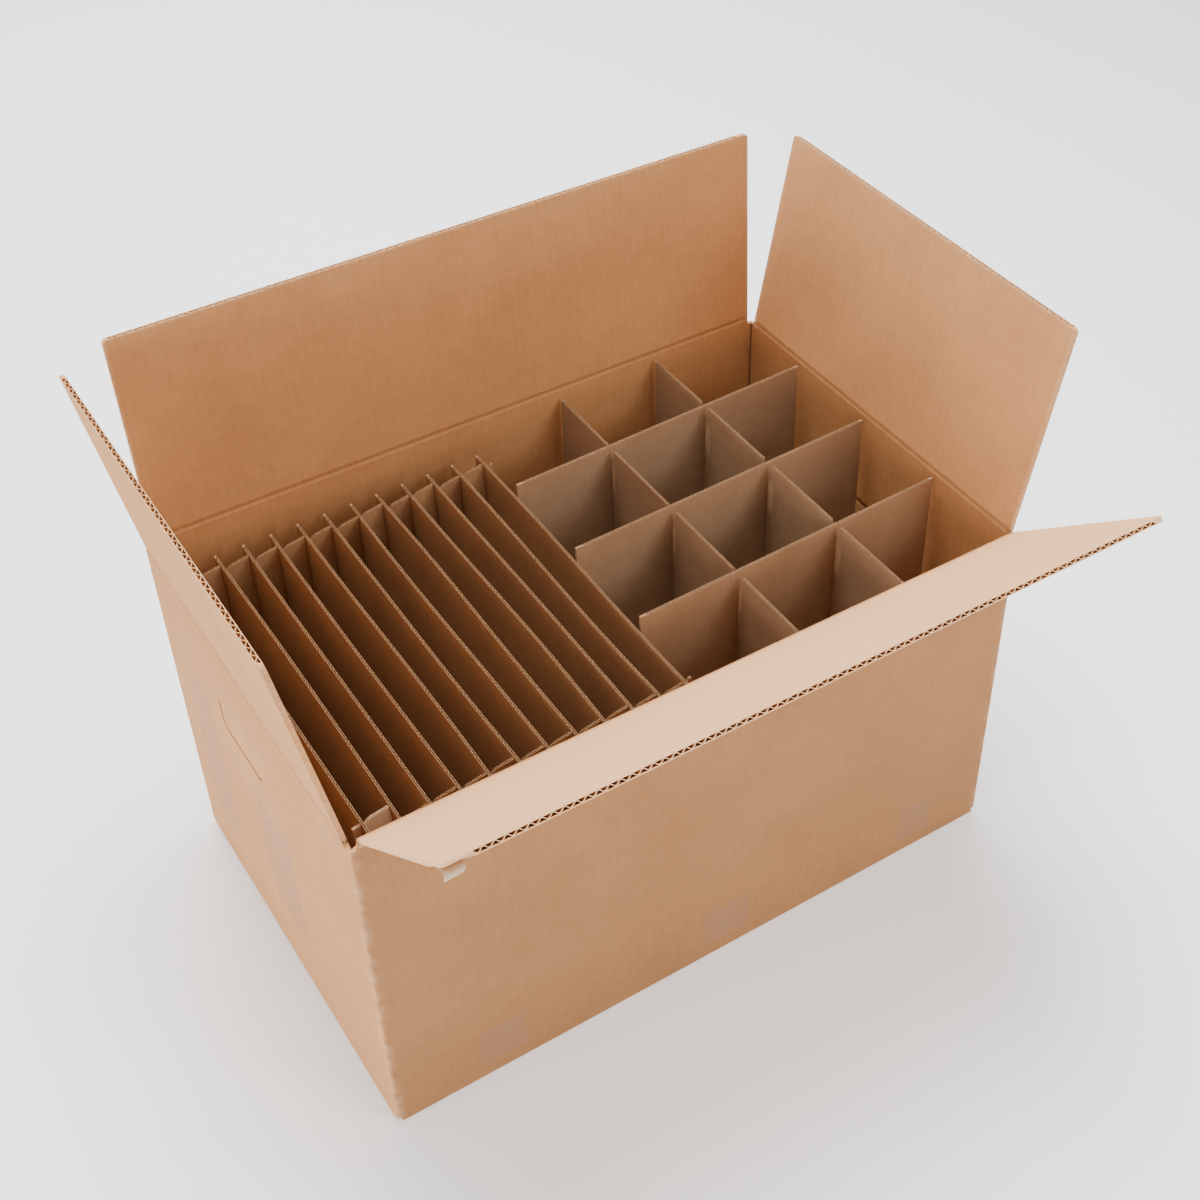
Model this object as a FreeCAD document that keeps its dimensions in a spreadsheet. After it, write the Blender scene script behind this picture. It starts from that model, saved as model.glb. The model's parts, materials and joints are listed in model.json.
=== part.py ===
import FreeCAD, Part
import math
import os
import Sketcher

# Corrugated shipping carton with its four top flaps open. The left half holds a rack of
# upright sheets for plates and flat glass, the right half a grid of cells for bottles.
# Millimetres, +Z up, +X to the right along the long walls, +Y towards the back wall.
# The origin is the middle of the bottom face that the carton stands on.

SIZES = [
    # alias, value, meaning
    ("box_length", 600, "outside, along the front and back walls"),
    ("box_width", 380, "outside, from the front wall to the back wall"),
    ("board", 4, "thickness of the carton board"),
    ("liner", 0.6, "paper on each face of the board, at the flaps' free edges"),
    ("medium", 0.5, "wavy paper between the two liners"),
    ("flute_pitch", 8, "from one wave of that paper to the next"),
    ("flute_mouth", 6.2, "width of a flute's open end at the liner it lies against"),
    ("flute_tip", 1.2, "width of that opening at the other liner"),
    ("flute_depth", 10, "how far the open flutes are cut in from a free edge"),
    ("corner_radius", 4.5, "outside radius of the four upright folds"),
    ("crease_height", 340, "score line of the two end flaps above the ground"),
    ("flap_layer_gap", 0.3, "air between end flaps and long flaps when all are closed"),
    ("end_flap_length", 188, "left and right flaps, from score line to free edge"),
    ("meeting_gap", 1, "seam left between the two long flaps, top and bottom"),
    ("seam_offset", 4, "bottom seam behind the middle, where one glued flap reaches over"),
    ("slot_cut", 8, "how far each top flap is cut back from the box corner"),
    ("slot_drop", 3, "bottom of that cut below the end flaps' score, and its rounding"),
    ("bottom_slot_cut", 5, "how far each glued bottom flap is cut back from the corner"),
    ("flap_side_gap", 0.4, "air between a flap's side edge and the corner post"),
    ("flap_corner_radius", 4, "rounding of each flap's free corners"),
    ("tear_along", 22, "front flap's torn corner, along its free edge"),
    ("tear_down", 26, "that corner, down the flap's side edge"),
    ("tear_bite", 12, "how far in from both edges the tear's middle lies"),
    ("tear_depth", 1.8, "board lost there, from the outer face"),
    ("score_height", 5, "how far the crushed valley of a score runs up and down"),
    ("score_radius", 0.7, "half of the board's thickness where a score crushes it"),
    ("score_gap", 0.3, "air round the rolled nose of a score line"),
    ("score_land", 1, "full board under the valley, above the level where the walls end"),
    ("front_open", 50.3, "resting angle of the front flap, outward from upright"),
    ("back_open", 2.6, "resting angle of the back flap, outward from upright"),
    ("left_open", 9.6, "resting angle of the left flap, outward from upright"),
    ("right_open", 11.3, "resting angle of the right flap, outward from upright"),
    ("glue_tab_width", 34, "strip glued inside the back left upright edge"),
    ("slit_span", 74, "hand hole slit, from end to end"),
    ("slit_level", 241, "lower edge of the slit above the ground"),
    ("slit_rise", 28, "how far the slit's back end turns up"),
    ("slit_radius", 12, "rounding of the slit at that end"),
    ("slit_hook", 5, "rounding at its front end, where it stops"),
    ("slit_kerf", 1.4, "width of the cut"),
    ("slit_offset", 27, "middle of the slit behind the middle of the end wall"),
    ("insert_headroom", 0.6, "air between the cell dividers and a closed end flap"),
    ("divider_board", 2, "thickness of the cell dividers"),
    ("front_cell", 92, "front wall to the foremost long divider"),
    ("back_cell", 86, "back wall to the rearmost long divider"),
    ("first_column", 96, "free end of the long dividers to the first cross divider"),
    ("column_pitch", 100, "from one cross divider to the other"),
    ("divider_lean", 2, "degrees the long dividers stand askew, as in the photo"),
    ("grid_end_gap", 5, "long dividers to the right wall"),
    ("cross_end_gap", 3, "cross dividers to the front and back walls"),
    ("divider_slot_play", 1, "air on each side of a divider in its slot"),
    ("mouth_width", 13, "lead-in of the cross dividers' slots at the top edge"),
    ("mouth_depth", 15, "depth of that lead-in"),
    ("rack_board", 2, "thickness of the rack's sheets and combs"),
    ("sheet_count", 12, "upright sheets in the rack"),
    ("sheet_pitch", 24, "from one sheet to the next"),
    ("rack_headroom", 8, "air between the rack and a closed end flap"),
    ("rack_side_gap", 10, "left wall to the left end of the combs"),
    ("rack_front_gap", 1, "front wall to the sheets"),
    ("rack_back_gap", 29, "back wall to the sheets"),
    ("comb_inset", 15.5, "sheet end to the middle of a comb"),
    ("comb_margin", 8, "middle of an outer sheet to the end of a comb"),
    ("comb_slot_play", 0.7, "air on each side of a sheet in its comb slot"),
    ("comb_tab_radius", 7, "rounding of the left corner of each tab between two slots"),
    ("rack_to_grid_gap", 5, "middle of the last sheet to the long dividers"),
]

LONG_DIVIDERS = 3
CROSS_DIVIDERS = 2

doc = FreeCAD.newDocument("ShippingCarton")


class Size:
    """A length with both its formula in terms of the sheet and its present value."""

    def __init__(self, formula, value):
        self.formula = formula
        self.value = value

    @staticmethod
    def of(number):
        if isinstance(number, Size):
            return number
        return Size(repr(float(number)), float(number))

    def __add__(self, other):
        other = Size.of(other)
        return Size(f"({self.formula} + {other.formula})", self.value + other.value)

    def __sub__(self, other):
        other = Size.of(other)
        return Size(f"({self.formula} - {other.formula})", self.value - other.value)

    def __mul__(self, other):
        other = Size.of(other)
        return Size(f"({self.formula} * {other.formula})", self.value * other.value)

    def __truediv__(self, other):
        other = Size.of(other)
        return Size(f"({self.formula} / {other.formula})", self.value / other.value)

    def __neg__(self):
        return Size(f"(0 - {self.formula})", -self.value)

    def __radd__(self, other):
        return Size.of(other) + self

    def __rsub__(self, other):
        return Size.of(other) - self

    def __rmul__(self, other):
        return Size.of(other) * self


def root(size):
    return Size(f"sqrt({size.formula})", math.sqrt(size.value))


def tangent(size):
    return Size(f"tan({size.formula})", math.tan(math.radians(size.value)))


def whole(size):
    return Size(f"floor({size.formula})", math.floor(size.value))


def fill_sheet():
    """put every driving size in the document's sheet and return them by name"""
    sheet = doc.addObject("Spreadsheet::Sheet", "Sizes")
    for row, (alias, value, meaning) in enumerate(SIZES, start=1):
        sheet.set(f"A{row}", meaning)
        sheet.set(f"B{row}", str(value))
        sheet.setAlias(f"B{row}", alias)
    doc.recompute()
    return {alias: Size(f"Sizes.{alias}", float(value)) for alias, value, _ in SIZES}


S = fill_sheet()
ZERO = Size.of(0)


# Shared places, worked out from the driving sizes

HALF_LENGTH = S["box_length"] / 2
HALF_WIDTH = S["box_width"] / 2
BOARD = S["board"]
HALF_BOARD = BOARD / 2
INNER_X = HALF_LENGTH - BOARD
INNER_Y = HALF_WIDTH - BOARD
END_CREASE = S["crease_height"]
LONG_CREASE = END_CREASE + BOARD + S["flap_layer_gap"]
WALL_BREAK = END_CREASE - S["score_height"] - S["score_land"]
FLOOR = BOARD * 2
LONG_FLAP_LENGTH = HALF_WIDTH - HALF_BOARD - S["meeting_gap"] / 2
LONG_FLAP_HALF = HALF_LENGTH - S["slot_cut"]
END_FLAP_HALF = HALF_WIDTH - S["slot_cut"]
SLOT_FLOOR = END_CREASE - S["slot_drop"]
CLOSED_FLAP_UNDERSIDE = END_CREASE - HALF_BOARD

GRID_TOP = CLOSED_FLAP_UNDERSIDE - S["insert_headroom"]
GRID_HEIGHT = GRID_TOP - FLOOR
RACK_TOP = CLOSED_FLAP_UNDERSIDE - S["rack_headroom"]
RACK_HEIGHT = RACK_TOP - FLOOR

COMB_LEFT = -INNER_X + S["rack_side_gap"]
FIRST_SHEET = COMB_LEFT + S["comb_margin"]
LAST_SHEET = FIRST_SHEET + (S["sheet_count"] - 1) * S["sheet_pitch"]
COMB_RIGHT = LAST_SHEET + S["comb_margin"]
SHEET_FRONT = -INNER_Y + S["rack_front_gap"]
SHEET_BACK = INNER_Y - S["rack_back_gap"]
FRONT_COMB = SHEET_FRONT + S["comb_inset"]
BACK_COMB = SHEET_BACK - S["comb_inset"]

GRID_LEFT = LAST_SHEET + S["rack_to_grid_gap"]
GRID_RIGHT = INNER_X - S["grid_end_gap"]
GRID_MIDDLE = (GRID_LEFT + GRID_RIGHT) / 2
CROSS_HALF = INNER_Y - S["cross_end_gap"]


def cross_place(column):
    """X of a cross divider"""
    return GRID_LEFT + S["first_column"] + S["column_pitch"] * column


def row_place(row):
    """Y of a long divider at the middle of its length, the rearmost first"""
    back = INNER_Y - S["back_cell"]
    front = S["front_cell"] - INNER_Y
    return back + (front - back) * row / (LONG_DIVIDERS - 1)


# Drawing helpers


def bind(thing, name, size):
    thing.setExpression(name, size.formula)


def new_body(name):
    body = doc.addObject("PartDesign::Body", name)
    body.Label = name
    return body


def own(body, role):
    """one of the body's own origin planes or axes"""
    for feature in body.Origin.OriginFeatures:
        if feature.Role == role:
            return feature
    raise ValueError(role)


def is_left_turn(start, end, centre):
    return (start - centre).cross(end - centre).z > 0


def edge_shape(start, end, centre):
    """a straight edge, or the shorter arc round the centre, which always runs leftwards"""
    if centre is None:
        return Part.LineSegment(start, end)
    if not is_left_turn(start, end, centre):
        start, end = end, start
    first = math.atan2(start.y - centre.y, start.x - centre.x)
    last = math.atan2(end.y - centre.y, end.x - centre.x)
    if last < first:
        last += 2 * math.pi
    circle = Part.Circle(centre, FreeCAD.Vector(0, 0, 1), (start - centre).Length)
    return Part.ArcOfCircle(circle, first, last)


def vector(place):
    return FreeCAD.Vector(place[0].value, place[1].value, 0)


def pin(sketch, direction, edge, end, size):
    number = sketch.addConstraint(
        Sketcher.Constraint(direction, -1, 1, edge, end, size.value)
    )
    sketch.setExpression(f"Constraints[{number}]", size.formula)


def pin_arc_end(sketch, edge, end, place, centre):
    """an arc's end already lies on its circle, so one coordinate settles it"""
    across = abs(place[0].value - centre[0].value)
    along = abs(place[1].value - centre[1].value)
    if along >= across:
        pin(sketch, "DistanceX", edge, end, place[0])
    else:
        pin(sketch, "DistanceY", edge, end, place[1])


def draw_loop(sketch, corners):
    """A closed outline. Each corner is (x, y), or (x, y, centre) where the edge that leaves
    it is an arc round that centre. The last edge is always straight."""
    first = len(sketch.Geometry)
    count = len(corners)
    ends = []
    for index, corner in enumerate(corners):
        start = vector(corner)
        finish = vector(corners[(index + 1) % count])
        centre = vector(corner[2]) if len(corner) > 2 else None
        edge = sketch.addGeometry(edge_shape(start, finish, centre), False)
        turned = centre is not None and not is_left_turn(start, finish, centre)
        ends.append((2, 1) if turned else (1, 2))
    for index, corner in enumerate(corners):
        edge = first + index
        following = (index + 1) % count
        sketch.addConstraint(
            Sketcher.Constraint(
                "Coincident", edge, ends[index][1], first + following, ends[following][0]
            )
        )
        before = corners[index - 1]
        if len(before) > 2:
            pin_arc_end(sketch, edge, ends[index][0], corner, before[2])
        else:
            pin(sketch, "DistanceX", edge, ends[index][0], corner[0])
            pin(sketch, "DistanceY", edge, ends[index][0], corner[1])
        if len(corner) > 2:
            pin(sketch, "DistanceX", edge, 3, corner[2][0])
            pin(sketch, "DistanceY", edge, 3, corner[2][1])


def draw(body, plane, name, loops, lift=None):
    """a sketch on one of the body's own planes, lifted off it if asked"""
    sketch = body.newObject("Sketcher::SketchObject", name)
    sketch.AttachmentSupport = [(own(body, plane), "")]
    sketch.MapMode = "FlatFace"
    if lift is not None:
        sketch.AttachmentOffset = FreeCAD.Placement(
            FreeCAD.Vector(0, 0, lift.value), FreeCAD.Rotation()
        )
        sketch.setExpression("AttachmentOffset.Base.z", lift.formula)
    for corners in loops:
        draw_loop(sketch, corners)
    return sketch


def rectangle(left, low, right, high):
    return [(left, low), (right, low), (right, high), (left, high)]


def pad(body, name, sketch, length, both_ways=False):
    feature = body.newObject("PartDesign::Pad", name)
    feature.Profile = (sketch, [""])
    bind(feature, "Length", length)
    if both_ways:
        feature.SideType = "Symmetric"
    return feature


def pocket_through(body, name, sketch):
    feature = body.newObject("PartDesign::Pocket", name)
    feature.Profile = (sketch, [""])
    feature.SideType = "Symmetric"
    feature.Type = "ThroughAll"
    return feature


def pocket(body, name, sketch, depth):
    feature = body.newObject("PartDesign::Pocket", name)
    feature.Profile = (sketch, [""])
    bind(feature, "Length", depth)
    return feature


def repeat(body, name, features, axis, spacing, count):
    feature = body.newObject("PartDesign::LinearPattern", name)
    feature.Originals = features
    feature.Direction = (own(body, axis), [""])
    feature.Mode = "Spacing"
    bind(feature, "Offset", spacing)
    bind(feature, "Occurrences", count)
    body.Tip = feature
    return feature


def round_edges(body, name, base, chosen, radius):
    """fillet the base feature's edges that the chosen test picks"""
    doc.recompute()
    names = [
        f"Edge{number}"
        for number, edge in enumerate(base.Shape.Edges, start=1)
        if chosen(edge)
    ]
    feature = body.newObject("PartDesign::Fillet", name)
    feature.Base = (base, names)
    bind(feature, "Radius", radius)
    body.Tip = feature
    return feature


def place(body, x=ZERO, y=ZERO, z=ZERO, turn_axis=None, turn=ZERO):
    axis = turn_axis or FreeCAD.Vector(0, 0, 1)
    body.Placement = FreeCAD.Placement(
        FreeCAD.Vector(x.value, y.value, z.value), FreeCAD.Rotation(axis, turn.value)
    )
    bind(body, "Placement.Base.x", x)
    bind(body, "Placement.Base.y", y)
    bind(body, "Placement.Base.z", z)
    if turn_axis is not None:
        bind(body, "Placement.Rotation.Angle", turn)


# The carton: one folded sheet, with its bottom flaps closed and glued


SCORE_SLANT = root(HALF_BOARD * HALF_BOARD + S["score_height"] * S["score_height"])


def score_point(radius, side, up):
    """where a circle round the score meets the slanted face of its crushed valley"""
    across = radius * HALF_BOARD / SCORE_SLANT * side
    return (across, radius * S["score_height"] / SCORE_SLANT * up)


def wall_top_profile(axis, crease, side):
    """Section of a wall's upper end: full board, crushed to a rounded nose at the score.
    Side is the sign of the wall's place, axis its middle."""
    nose = S["score_radius"]
    centre = (axis * side, crease)
    inner = score_point(nose, -side, -1)
    outer = score_point(nose, side, -1)
    shoulder = crease - S["score_height"]
    inner_face = (axis - HALF_BOARD) * side
    outer_face = (axis + HALF_BOARD) * side
    return [
        (inner_face, WALL_BREAK),
        (inner_face, shoulder),
        (axis * side + inner[0], crease + inner[1], centre),
        (axis * side, crease + nose, centre),
        (axis * side + outer[0], crease + outer[1]),
        (outer_face, shoulder),
        (outer_face, WALL_BREAK),
    ]


def fold_profile(outer, end, low, side):
    """Section of a wall's lower end with the bottom flap that it folds into. Low is the
    underside of the flap."""
    top = low + BOARD
    fold = ((outer - BOARD) * side, top)
    return [
        (outer * side, FLOOR),
        (outer * side, top, fold),
        ((outer - BOARD) * side, low),
        (end * side, low),
        (end * side, top),
        ((outer - BOARD) * side, top),
        ((outer - BOARD) * side, FLOOR),
    ]


def end_fold_profile(side):
    """as fold_profile, for the end flaps, whose upper face is the floor itself"""
    fold = (INNER_X * side, FLOOR)
    end = HALF_LENGTH - S["end_flap_length"]
    return [
        (HALF_LENGTH * side, FLOOR, fold),
        (INNER_X * side, BOARD),
        (end * side, BOARD),
        (end * side, FLOOR),
    ]


def corner_post(x_side, y_side):
    """plan of the corner left standing under the slot between two flaps"""
    return [
        (HALF_LENGTH * x_side, HALF_WIDTH * y_side),
        (LONG_FLAP_HALF * x_side, HALF_WIDTH * y_side),
        (LONG_FLAP_HALF * x_side, INNER_Y * y_side),
        (INNER_X * x_side, INNER_Y * y_side),
        (INNER_X * x_side, END_FLAP_HALF * y_side),
        (HALF_LENGTH * x_side, END_FLAP_HALF * y_side),
    ]


def slot_rounding(edge, side):
    """section of the fillet where a slot's floor runs up into the wall beside it"""
    bend = S["slot_drop"]
    centre = ((edge + bend) * side, END_CREASE)
    return [
        (edge * side, END_CREASE, centre),
        ((edge + bend) * side, SLOT_FLOOR),
        (edge * side, SLOT_FLOOR),
    ]


def round_slots(body):
    """fillets at both ends of all four walls, each as thick as its wall"""
    walls = [
        ("front", "XZ_Plane", INNER_Y, LONG_FLAP_HALF),
        ("back", "XZ_Plane", -HALF_WIDTH, LONG_FLAP_HALF),
        ("right", "YZ_Plane", INNER_X, END_FLAP_HALF),
        ("left", "YZ_Plane", -HALF_LENGTH, END_FLAP_HALF),
    ]
    for wall, plane, lift, edge in walls:
        loops = [slot_rounding(edge, side) for side in (-1, 1)]
        section = draw(body, plane, wall + "_slot_section", loops, lift=lift)
        pad(body, wall + "_slot_rounding", section, BOARD)


def slit_outline():
    """J-shaped cut whose tongue pushes in to make a hand hole"""
    low = S["slit_level"]
    kerf = S["slit_kerf"]
    bend = S["slit_radius"]
    hook = S["slit_hook"]
    high = low + S["slit_rise"]
    front_end = S["slit_offset"] - S["slit_span"] / 2
    back_end = S["slit_offset"] + S["slit_span"] / 2
    front = (front_end + hook, low + hook)
    back = (back_end - bend, low + bend)
    return [
        (front_end, front[1], front),
        (front[0], low),
        (back[0], low, back),
        (back_end, back[1]),
        (back_end, high),
        (back_end - kerf, high),
        (back_end - kerf, back[1], back),
        (back[0], low + kerf),
        (front[0], low + kerf, front),
        (front_end + kerf, front[1]),
    ]


def is_upright_corner(edge):
    """the long upright edges where two walls meet"""
    if len(edge.Vertexes) != 2:
        return False
    low, high = [vertex.Point for vertex in edge.Vertexes]
    upright = abs(low.x - high.x) < 1e-6 and abs(low.y - high.y) < 1e-6
    at_corner = (
        abs(low.x) > INNER_X.value - 0.01 and abs(low.y) > INNER_Y.value - 0.01
    )
    return upright and at_corner


def upright_corner_at(half_x, half_y):
    def chosen(edge):
        if not is_upright_corner(edge):
            return False
        point = edge.Vertexes[0].Point
        return (
            abs(abs(point.x) - half_x.value) < 0.01
            and abs(abs(point.y) - half_y.value) < 0.01
        )

    return chosen


def make_box_shell():
    body = new_body("box_shell")
    ring = draw(
        body,
        "XY_Plane",
        "wall_plan",
        [
            rectangle(-HALF_LENGTH, -HALF_WIDTH, HALF_LENGTH, HALF_WIDTH),
            rectangle(-INNER_X, -INNER_Y, INNER_X, INNER_Y),
        ],
        lift=FLOOR,
    )
    pad(body, "walls", ring, WALL_BREAK - FLOOR)
    posts = draw(
        body,
        "XY_Plane",
        "post_plan",
        [corner_post(x_side, y_side) for x_side in (-1, 1) for y_side in (-1, 1)],
        lift=WALL_BREAK,
    )
    corner_posts = pad(body, "corner_posts", posts, SLOT_FLOOR - WALL_BREAK)
    outside = round_edges(
        body,
        "outside_folds",
        corner_posts,
        upright_corner_at(HALF_LENGTH, HALF_WIDTH),
        S["corner_radius"],
    )
    round_edges(
        body,
        "inside_folds",
        outside,
        upright_corner_at(INNER_X, INNER_Y),
        S["corner_radius"] - BOARD,
    )
    long_axis = HALF_WIDTH - HALF_BOARD
    end_axis = HALF_LENGTH - HALF_BOARD
    long_tops = draw(
        body,
        "YZ_Plane",
        "long_wall_tops",
        [wall_top_profile(long_axis, LONG_CREASE, side) for side in (-1, 1)],
    )
    pad(body, "long_scores", long_tops, LONG_FLAP_HALF * 2, both_ways=True)
    end_tops = draw(
        body,
        "XZ_Plane",
        "end_wall_tops",
        [wall_top_profile(end_axis, END_CREASE, side) for side in (-1, 1)],
    )
    pad(body, "end_scores", end_tops, END_FLAP_HALF * 2, both_ways=True)
    round_slots(body)
    half_seam = S["meeting_gap"] / 2
    bottom_slots = S["bottom_slot_cut"] * 2
    long_bottom = draw(
        body,
        "YZ_Plane",
        "long_bottom_flaps",
        [
            fold_profile(HALF_WIDTH, half_seam + S["seam_offset"] * side, ZERO, side)
            for side in (-1, 1)
        ],
    )
    pad(body, "outer_bottom", long_bottom, S["box_length"] - bottom_slots, both_ways=True)
    end_bottom = draw(
        body,
        "XZ_Plane",
        "end_bottom_flaps",
        [end_fold_profile(side) for side in (-1, 1)],
    )
    pad(body, "inner_bottom", end_bottom, S["box_width"] - bottom_slots, both_ways=True)
    tab = draw(
        body,
        "XY_Plane",
        "glue_tab_plan",
        [
            rectangle(
                -INNER_X,
                INNER_Y - S["glue_tab_width"],
                -INNER_X + BOARD,
                INNER_Y,
            )
        ],
        lift=FLOOR,
    )
    pad(body, "glue_tab", tab, WALL_BREAK - FLOOR)
    slit = draw(body, "YZ_Plane", "hand_slit_outline", [slit_outline()])
    pocket_through(body, "hand_slits", slit)
    return body


# The four top flaps, each drawn with its score line at the origin


def flap_profile(length):
    """Section of a flap: its foot is crushed and cupped round the wall's nose."""
    cup = S["score_radius"] + S["score_gap"]
    centre = (ZERO, ZERO)
    left = score_point(cup, -1, 1)
    right = score_point(cup, 1, 1)
    return [
        (-HALF_BOARD, S["score_height"]),
        (left[0], left[1], centre),
        (right[0], right[1]),
        (HALF_BOARD, S["score_height"]),
        (HALF_BOARD, length),
        (-HALF_BOARD, length),
    ]


def channel(middle, side):
    """End of the air channel between the wavy medium and the liner on one side of a board:
    wide at that liner, narrow at the other."""
    wide = S["flute_mouth"] / 2
    narrow = S["flute_tip"] / 2
    near = (HALF_BOARD - S["liner"]) * side
    far = (S["medium"] + S["liner"] - HALF_BOARD) * side
    return [
        (middle - wide, near),
        (middle + wide, near),
        (middle + narrow, far),
        (middle - narrow, far),
    ]


def open_flutes(body, axis, length, left, right):
    """cut the open flute ends into a flap's free edge, from left to right along the axis"""
    first = left + S["flute_pitch"] / 4
    channels = [channel(first, 1), channel(first + S["flute_pitch"] / 2, -1)]
    if axis == "Y_Axis":
        channels = [[(across, along) for along, across in loop] for loop in channels]
    ends = draw(body, "XY_Plane", body.Name + "_flute_ends", channels, lift=length)
    cut = pocket(body, body.Name + "_first_flute", ends, S["flute_depth"])
    count = whole((right - left) / S["flute_pitch"])
    repeat(body, body.Name + "_flutes", [cut], axis, S["flute_pitch"], count)


def tear_corner(body, edge, length):
    """the corner's outer liner and medium are torn away; the inner liner is left"""
    outline = [
        (edge, length - S["tear_down"]),
        (edge + S["tear_bite"], length - S["tear_bite"]),
        (edge + S["tear_along"], length),
        (edge + S["tear_along"], length + BOARD),
        (edge - BOARD, length + BOARD),
        (edge - BOARD, length - S["tear_down"]),
    ]
    torn = draw(body, "XZ_Plane", body.Name + "_tear_outline", [outline], lift=HALF_BOARD)
    pocket(body, body.Name + "_tear", torn, S["tear_depth"])


def make_flap(name, axis, half_slot_to_slot, length, torn=False):
    """a flap standing upright on its score line, which runs along the axis"""
    body = new_body(name)
    half = half_slot_to_slot - S["flap_side_gap"]
    plane = "YZ_Plane" if axis == "X_Axis" else "XZ_Plane"
    section = draw(body, plane, name + "_section", [flap_profile(length)])
    leaf = pad(body, name + "_leaf", section, half * 2, both_ways=True)

    def is_free_corner(edge):
        middle = edge.CenterOfMass
        at_side = abs(max(abs(middle.x), abs(middle.y)) - half.value) < 1e-6
        return at_side and abs(middle.z - length.value) < 1e-6

    round_edges(body, name + "_corners", leaf, is_free_corner, S["flap_corner_radius"])
    left = S["flap_corner_radius"] - half
    if torn:
        tear_corner(body, -half, length)
        left = S["tear_along"] - half
    open_flutes(body, axis, length, left, half - S["flap_corner_radius"])
    return body


def make_flaps():
    along_x = FreeCAD.Vector(1, 0, 0)
    along_y = FreeCAD.Vector(0, 1, 0)
    long_axis = HALF_WIDTH - HALF_BOARD
    end_axis = HALF_LENGTH - HALF_BOARD
    long_flap = ("X_Axis", LONG_FLAP_HALF, LONG_FLAP_LENGTH)
    end_flap = ("Y_Axis", END_FLAP_HALF, S["end_flap_length"])
    front = make_flap("flap_front", *long_flap, torn=True)
    place(front, ZERO, -long_axis, LONG_CREASE, along_x, S["front_open"])
    back = make_flap("flap_back", *long_flap)
    place(back, ZERO, long_axis, LONG_CREASE, along_x, -S["back_open"])
    left = make_flap("flap_left", *end_flap)
    place(left, -end_axis, ZERO, END_CREASE, along_y, -S["left_open"])
    right = make_flap("flap_right", *end_flap)
    place(right, end_axis, ZERO, END_CREASE, along_y, S["right_open"])
    return [front, back, left, right]


# The cell dividers: slotted strips that drop into each other


def slot_from_above(middle, half, floor, top, mouth_half, mouth_depth):
    """corners of a slot in a top edge, from right to left"""
    return [
        (middle + mouth_half, top),
        (middle + half, top - mouth_depth),
        (middle + half, floor),
        (middle - half, floor),
        (middle - half, top - mouth_depth),
        (middle - mouth_half, top),
    ]


def slot_from_below(middle, half, low, roof):
    """corners of a slot in a lower edge, from left to right"""
    return [
        (middle - half, low),
        (middle - half, roof),
        (middle + half, roof),
        (middle + half, low),
    ]


def make_long_divider(row):
    body = new_body(f"long_divider_{row + 1}")
    half_slot = S["divider_board"] / 2 + S["divider_slot_play"]
    left = GRID_LEFT - GRID_MIDDLE
    right = GRID_RIGHT - GRID_MIDDLE
    corners = [(left, ZERO)]
    for column in range(CROSS_DIVIDERS):
        middle = cross_place(column) - GRID_MIDDLE
        corners += slot_from_below(middle, half_slot, ZERO, GRID_HEIGHT / 2)
    corners += [(right, ZERO), (right, GRID_HEIGHT), (left, GRID_HEIGHT)]
    outline = draw(body, "XZ_Plane", body.Name + "_outline", [corners])
    pad(body, body.Name + "_strip", outline, S["divider_board"], both_ways=True)
    upright = FreeCAD.Vector(0, 0, 1)
    place(body, GRID_MIDDLE, row_place(row), FLOOR, upright, S["divider_lean"])
    return body


def make_cross_divider(column):
    """The first stands on the outer bottom flaps, past the end of the inner one, so it sits
    one board lower than the second."""
    body = new_body(f"cross_divider_{column + 1}")
    half_slot = S["divider_board"] / 2 + S["divider_slot_play"]
    x = cross_place(column)
    skew = (x - GRID_MIDDLE) * tangent(S["divider_lean"])
    corners = [(-CROSS_HALF, ZERO), (CROSS_HALF, ZERO), (CROSS_HALF, GRID_HEIGHT)]
    for row in range(LONG_DIVIDERS):
        corners += slot_from_above(
            row_place(row) + skew,
            half_slot,
            GRID_HEIGHT / 2,
            GRID_HEIGHT,
            S["mouth_width"] / 2,
            S["mouth_depth"],
        )
    corners.append((-CROSS_HALF, GRID_HEIGHT))
    outline = draw(body, "YZ_Plane", body.Name + "_outline", [corners])
    pad(body, body.Name + "_strip", outline, S["divider_board"], both_ways=True)
    inner_flap_end = HALF_LENGTH - S["end_flap_length"]
    seat = FLOOR if x.value > inner_flap_end.value else BOARD
    place(body, x, ZERO, seat)
    return body


# The plate rack: upright sheets held apart by two combs


def comb_slot_outline(middle):
    """a slot whose mouth is rounded into the tab on its right"""
    half = S["rack_board"] / 2 + S["comb_slot_play"]
    bend = S["comb_tab_radius"]
    shoulder = RACK_HEIGHT - bend
    tab = (middle + half + bend, shoulder)
    return [
        (tab[0], RACK_HEIGHT, tab),
        (middle + half, shoulder),
        (middle + half, RACK_HEIGHT / 2),
        (middle - half, RACK_HEIGHT / 2),
        (middle - half, RACK_HEIGHT),
    ]


def make_rack_comb(name, y):
    body = new_body(name)
    blank = draw(
        body, "XZ_Plane", name + "_blank", [rectangle(COMB_LEFT, ZERO, COMB_RIGHT, RACK_HEIGHT)]
    )
    pad(body, name + "_strip", blank, S["rack_board"], both_ways=True)
    slot = draw(body, "XZ_Plane", name + "_slot", [comb_slot_outline(FIRST_SHEET)])
    cut = pocket_through(body, name + "_first_slot", slot)
    repeat(body, name + "_slots", [cut], "X_Axis", S["sheet_pitch"], S["sheet_count"])
    place(body, ZERO, y, FLOOR)
    return body


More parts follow.
